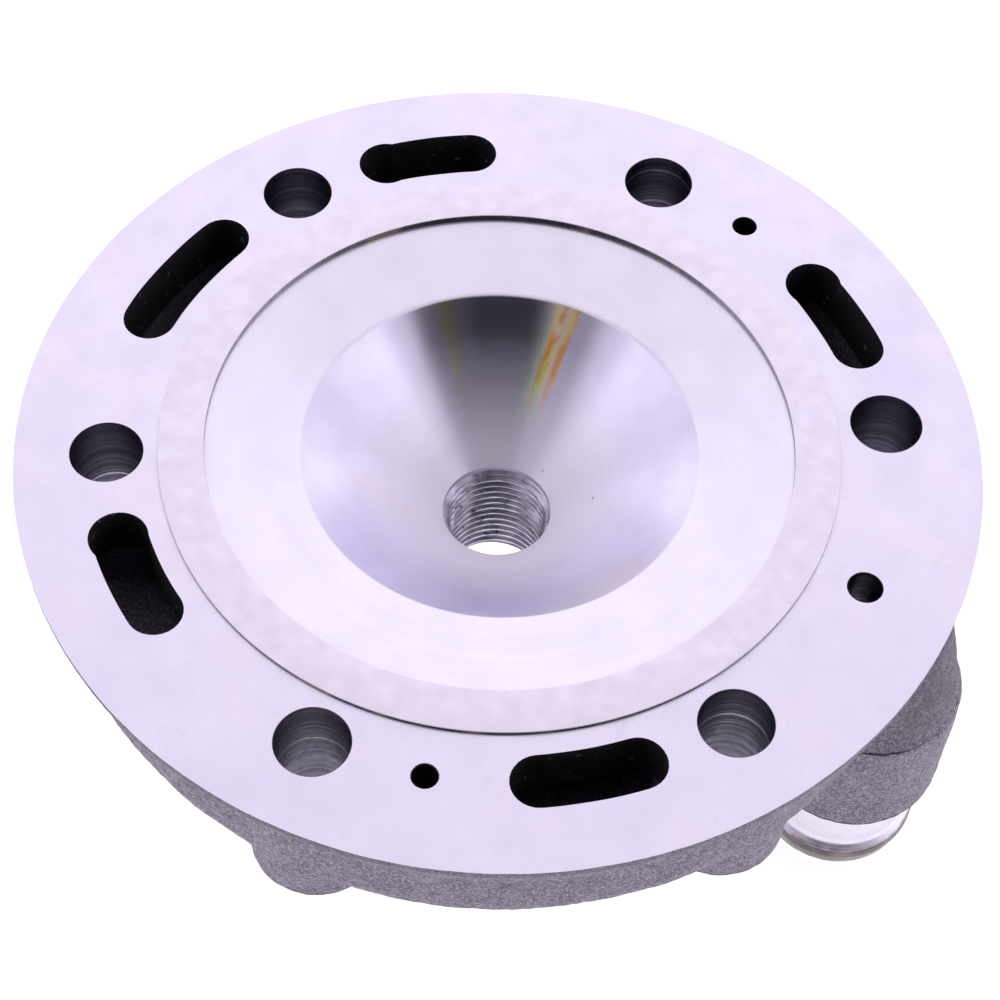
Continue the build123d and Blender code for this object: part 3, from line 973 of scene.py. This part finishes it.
def machined_casting():
    """The finished head casting."""
    head = casting_blank()
    head.data.materials.append(cast_skin())
    cut(head, [sand_core()], jacket_skin())
    cut(head, [kidney_tool(index, middle, covered) for index, (middle, covered) in enumerate(SLOTS)],
        bpy.data.materials["jacket_skin"])
    cut(head, [plunge_tool(*slot, end) for slot, end in zip(SLOTS, SLOT_PLUNGES) if end],
        bpy.data.materials["jacket_skin"])
    cut(head, [facing_tool()], milled_face())
    bored = bored_hole()
    cut(head, [drill("bolt_hole", BOLT_HOLE_RADIUS, COLUMN_END_HEIGHT - CLEAR, 0, BOLT_CIRCLE_RADIUS, angle)
               for angle in BOLT_ANGLES], bored)
    cut(head, [drill("drilling", radius, DECK_HEIGHT - 2.0, 0, BOLT_CIRCLE_RADIUS, angle)
               for angle, radius in DRILLINGS], bored)
    cut(head, [rod("insert_bore", INSERT_RADIUS, PLUG_SEAT_HEIGHT - CLEAR, PLUG_LIP_HEIGHT)], bored)
    spots = [spot_facing(COLUMN_END_RADIUS + SPOT_MARGIN, COLUMN_END_HEIGHT, BOLT_CIRCLE_RADIUS, angle)
             for angle in BOLT_ANGLES]
    spots.append(spot_facing(TOWER_RADIUS + CLEAR, PLUG_SEAT_HEIGHT, 0, 0))
    spots.append(spot_facing(OUTLET_BOSS_RADIUS + SPOT_MARGIN, OUTLET_FACE_HEIGHT, OUTLET_DISTANCE, 0))
    spots.append(spot_facing(BLEED_BOSS_RADIUS + SPOT_MARGIN, BLEED_FACE_HEIGHT, *BLEED_PLACE))
    spots.append(spot_facing(SENSOR_BOSS_RADIUS + SPOT_MARGIN, SENSOR_FACE_HEIGHT, *SENSOR_PLACE))
    for angle in CORE_ANGLES:
        spots.append(spot_facing(CORE_PAD_RADIUS + SPOT_MARGIN, CORE_PAD_HEIGHT, CORE_DISTANCE, angle))
    cut(head, spots, spot_faced())
    inside = SHOULDER_HEIGHT + ROOF_THICKNESS
    ports = [
        rod("socket", SPIGOT_RADIUS, OUTLET_FACE_HEIGHT - CLEAR, SPIGOT_SOCKET_END, OUTLET_DISTANCE, 0),
        rod("bleed_port", BLEED_THREAD_RADIUS, BLEED_FACE_HEIGHT - CLEAR, inside, *BLEED_PLACE),
        rod("sensor_port", SENSOR_THREAD_RADIUS, SENSOR_FACE_HEIGHT - CLEAR, inside, *SENSOR_PLACE),
    ]
    for angle in CORE_ANGLES:
        ports.append(rod("core_seat", CORE_PLUG_RADIUS, CORE_PAD_HEIGHT - CLEAR,
                         CORE_PAD_HEIGHT + CORE_PLUG_DEPTH, CORE_DISTANCE, angle))
        ports.append(rod("core_opening", CORE_OPENING_RADIUS, CORE_PAD_HEIGHT, inside, CORE_DISTANCE, angle))
    cut(head, ports, bored)
    sort_turned_faces(head)
    smooth(head)
    return head


def sort_turned_faces(head):
    """Gives the ring, the squish band and the bowl, which one tool cut, their own materials."""
    slots = [slot.material.name if slot.material else "" for slot in head.material_slots]
    face_index = slots.index("milled_face")
    first = len(slots)
    for material in (sealing_ring_face(), turned_band(), turned_bowl(), step_wall()):
        head.data.materials.append(material)
    mesh = head.data
    count = len(mesh.polygons)
    centres = np.empty(count * 3)
    normals = np.empty(count * 3)
    index = np.empty(count, dtype=np.int32)
    mesh.polygons.foreach_get("center", centres)
    mesh.polygons.foreach_get("normal", normals)
    mesh.polygons.foreach_get("material_index", index)
    centres = centres.reshape(-1, 3) / MM
    radius = np.hypot(centres[:, 0], centres[:, 1])
    turned_here = index == face_index
    bowl_edge = MOUTH_RADIUS - 0.2
    upright = np.abs(normals.reshape(-1, 3)[:, 2]) < 0.5
    index[turned_here & (radius < RING_OUTER_RADIUS + 0.01)] = first
    index[turned_here & (radius < RING_INNER_RADIUS - 0.01)] = first + 1
    index[turned_here & (radius < bowl_edge)] = first + 2
    index[turned_here & upright & (radius > RING_INNER_RADIUS - 1)] = first + 3
    mesh.polygons.foreach_set("material_index", index)
    mesh.update()


def smooth(piece, angle=30.0):
    """Smooth shading with sharp edges kept."""
    for polygon in piece.data.polygons:
        polygon.use_smooth = True
    piece.data.set_sharp_from_angle(angle=math.radians(angle))


# ---------------------------------------------------------------- the other pieces

def thread_insert():
    """Bush with the helical plug thread cut in it."""
    per_turn = 72
    per_pitch = 12
    length = PLUG_LIP_HEIGHT - PLUG_SEAT_HEIGHT
    rows = round(length / THREAD_PITCH * per_pitch)
    vertices = []
    for row in range(rows + 1):
        height = PLUG_LIP_HEIGHT - length * row / rows
        depth = min(PLUG_LIP_HEIGHT - height, height - PLUG_SEAT_HEIGHT)
        for step in range(per_turn):
            turn = 2 * math.pi * step / per_turn
            place = (height / THREAD_PITCH + step / per_turn) % 1.0
            radius = max(thread_radius(place), THREAD_MAJOR_RADIUS + 0.1 - 1.2 * depth)
            vertices.append((radius * math.cos(turn), radius * math.sin(turn), height))
    for height in (PLUG_SEAT_HEIGHT, PLUG_LIP_HEIGHT):
        for step in range(per_turn):
            turn = 2 * math.pi * step / per_turn
            vertices.append((INSERT_RADIUS * math.cos(turn), INSERT_RADIUS * math.sin(turn), height))
    faces = []
    loops = rows + 3
    for row in range(loops):
        for step in range(per_turn):
            after = (step + 1) % per_turn
            here = row * per_turn
            there = (row + 1) % loops * per_turn
            faces.append((here + step, here + after, there + after, there + step))
    insert = mesh_object("thread_insert", vertices, faces)
    insert.data.materials.append(cut_thread())
    smooth(insert, 50)
    return insert


def thread_radius(place):
    """Radius of the plug thread at a place along its pitch, 0 to 1: flat root, two flanks, flat crest."""
    from_root = abs(place - 0.5) * 2
    rise = min(max((from_root - ROOT_SHARE) / (FLANK_SHARE - ROOT_SHARE), 0.0), 1.0)
    root_radius = THREAD_MAJOR_RADIUS + ROOT_CLEARANCE
    return root_radius + (THREAD_MINOR_RADIUS - root_radius) * rise


def hose_spigot():
    """Turned hose tube with its bead and the fine steps that the tool left."""
    bead = BEAD_HEIGHT
    spigot = turned("hose_spigot", [
        (WATERWAY_RADIUS, SPIGOT_SOCKET_END, 0),
        (SPIGOT_RADIUS, SPIGOT_SOCKET_END, 0),
        (SPIGOT_RADIUS, bead + 1.9, 1.5),
        (SPIGOT_BEAD_RADIUS, bead + 0.7, 0.8),
        (SPIGOT_BEAD_RADIUS, bead - 0.6, 0.6),
        (SPIGOT_RADIUS + 0.5, SPIGOT_END_HEIGHT, 0.3),
        (WATERWAY_RADIUS + 0.4, SPIGOT_END_HEIGHT, 0.2),
        (WATERWAY_RADIUS, SPIGOT_END_HEIGHT + 0.4, 0),
    ], OUTLET_DISTANCE, 0, steps=144)
    spigot.data.materials.append(bright_turned())
    smooth(spigot, 40)
    return spigot


# ---------------------------------------------------------------- light, floor and camera

CAMERA_LENS = 86.33
CAMERA_DISTANCE = 292.8
CAMERA_ELEVATION = math.radians(54.49)
CAMERA_AZIMUTH = math.radians(23.62)
CAMERA_ROLL = math.radians(3.04)
CAMERA_TARGET = Vector((4.14, -8.56, 0))

FLOOR_WIDTH = 5000.0
FLOOR_COLOR = (0.7, 0.7, 0.7)
FLOOR_GLOW = 0.8
OPENING_LOW = math.radians(12)
OPENING_HIGH = math.radians(78)
OPENING_BLUR = math.radians(4)
# Brightness of the tent against degrees to the camera's right
TENT_BRIGHTNESS = [
    (-180, 1.0),
    (-135, 0.95),
    (-116, 0.72),
    (-77, 0.97),
    (-70, 0.66),
    (-61, 0.62),
    (-53, 0.18),
    (-46, 0.26),
    (-40, 0.36),
    (-31, 0.36),
    (-27, 0.1),
    (-18, 0.0),
    (18, 0.0),
    (30, 0.035),
    (53, 0.07),
    (57, 0.2),
    (61, 0.6),
    (70, 0.68),
    (77, 1.04),
    (116, 0.74),
    (135, 0.95),
    (180, 1.0),
]
LOW_BRIGHTNESS = 1.12       # of the tent's walls, against its roof's
HIGH_BRIGHTNESS = 0.86
TENT_COLOR = (0.98, 0.93, 1.05)
TENT_STRENGTH = 1.05


def towards(azimuth, elevation):
    """Direction towards a point round the object: azimuth 0 is the -Y side."""
    return Vector((math.sin(azimuth) * math.cos(elevation), -math.cos(azimuth) * math.cos(elevation),
                   math.sin(elevation)))


def add_camera():
    """Camera at the height and distance of a hand-sized product shot."""
    data = bpy.data.cameras.new("camera")
    data.lens = CAMERA_LENS
    data.sensor_width = 36.0
    camera = bpy.data.objects.new("camera", data)
    bpy.context.scene.collection.objects.link(camera)
    back = towards(CAMERA_AZIMUTH, CAMERA_ELEVATION)
    level = back.cross(Vector((0, 0, -1))).normalized()
    upright = back.cross(level)
    across = level * math.cos(CAMERA_ROLL) + upright * math.sin(CAMERA_ROLL)
    upward = upright * math.cos(CAMERA_ROLL) - level * math.sin(CAMERA_ROLL)
    axes = Matrix((across, upward, back)).transposed().to_4x4()
    camera.matrix_world = Matrix.Translation((CAMERA_TARGET + back * CAMERA_DISTANCE) * MM) @ axes
    bpy.context.scene.camera = camera
    return camera


def add_floor():
    """Plain white floor under the lowest point."""
    reach = FLOOR_WIDTH / 2
    corners = [(-reach, -reach, 0), (reach, -reach, 0), (reach, reach, 0), (-reach, reach, 0)]
    floor = mesh_object("floor", corners, [(0, 1, 2, 3)])
    floor.location.z = cad_low.z
    material, shader = new_material("floor_paper", FLOOR_COLOR, 0.0, 0.9)
    shader.inputs["Emission Color"].default_value = (1, 1, 1, 1)
    shader.inputs["Emission Strength"].default_value = FLOOR_GLOW
    floor.data.materials.append(material)


def add_sky():
    """White tent all round, open and dark where the camera looks in, with a slit of light in the opening."""
    world = bpy.data.worlds.new("tent")
    bpy.context.scene.world = world
    world.use_nodes = True
    tree = world.node_tree
    direction = node(tree, "ShaderNodeTexCoord").outputs["Generated"]
    split = node(tree, "ShaderNodeSeparateXYZ", {0: direction})
    backwards = math_node(tree, "MULTIPLY", split.outputs["Y"], -1.0)
    azimuth = math_node(tree, "ARCTAN2", split.outputs["X"], backwards)
    aside = math_node(tree, "SUBTRACT", azimuth, CAMERA_AZIMUTH)
    aside = math_node(tree, "WRAP", aside, math.pi, -math.pi)
    elevation = math_node(tree, "ARCSINE", split.outputs["Z"])
    ramp = node(tree, "ShaderNodeValToRGB", {"Fac": spread(tree, aside, 0.0, 1.0, -math.pi, math.pi)})
    points = ramp.color_ramp.elements
    while len(points) < len(TENT_BRIGHTNESS):
        points.new(0.5)
    for point, (angle, brightness) in zip(points, TENT_BRIGHTNESS):
        point.position = (angle + 180) / 360
        point.color = (brightness, brightness, brightness, 1)
    above = spread(tree, elevation, 1.0, 0.0, OPENING_LOW - OPENING_BLUR, OPENING_LOW + OPENING_BLUR)
    below = spread(tree, elevation, 0.0, 1.0, OPENING_HIGH - OPENING_BLUR, OPENING_HIGH + OPENING_BLUR)
    wall = math_node(tree, "MAXIMUM", above, below)
    color = blend(tree, wall, ramp.outputs["Color"], (1.0, 1.0, 1.0))
    falling = spread(tree, elevation, LOW_BRIGHTNESS, HIGH_BRIGHTNESS, math.radians(42), math.radians(64))
    color = node(tree, "ShaderNodeVectorMath", {0: color, 3: falling}, operation="SCALE").outputs[0]
    color = node(tree, "ShaderNodeMix", {0: 1.0, 6: color, 7: (*TENT_COLOR, 1)}, data_type="RGBA",
                 blend_type="MULTIPLY").outputs[2]
    background = tree.nodes["Background"]
    tree.links.new(color, background.inputs["Color"])
    background.inputs["Strength"].default_value = TENT_STRENGTH


# ---------------------------------------------------------------- the model

def finish_piece(piece, replaced):
    """Puts a piece on the head's one body, in place of its CAD node."""
    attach(piece, "root")
    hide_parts(replaced)


def dress(node_name, material):
    """Gives a CAD node its material."""
    mesh = frame["nodes"][node_name].data
    mesh.materials.clear()
    mesh.materials.append(material)


finish_piece(machined_casting(), "head_casting")
finish_piece(thread_insert(), "spark_plug_thread_insert")
finish_piece(hose_spigot(), "coolant_outlet_spigot")
dress("air_bleed_screw", plated_steel("plated_screw", SCREW_COLOR))
dress("sensor_port_plug", bpy.data.materials["plated_screw"])
dress("air_bleed_washer", plated_steel("soft_washer", WASHER_COLOR))
dress("sensor_port_washer", bpy.data.materials["soft_washer"])
dress("core_plugs", plated_steel("pressed_cup", CUP_COLOR))

add_floor()
add_sky()
add_camera()
bpy.context.scene.view_settings.view_transform = "Standard"
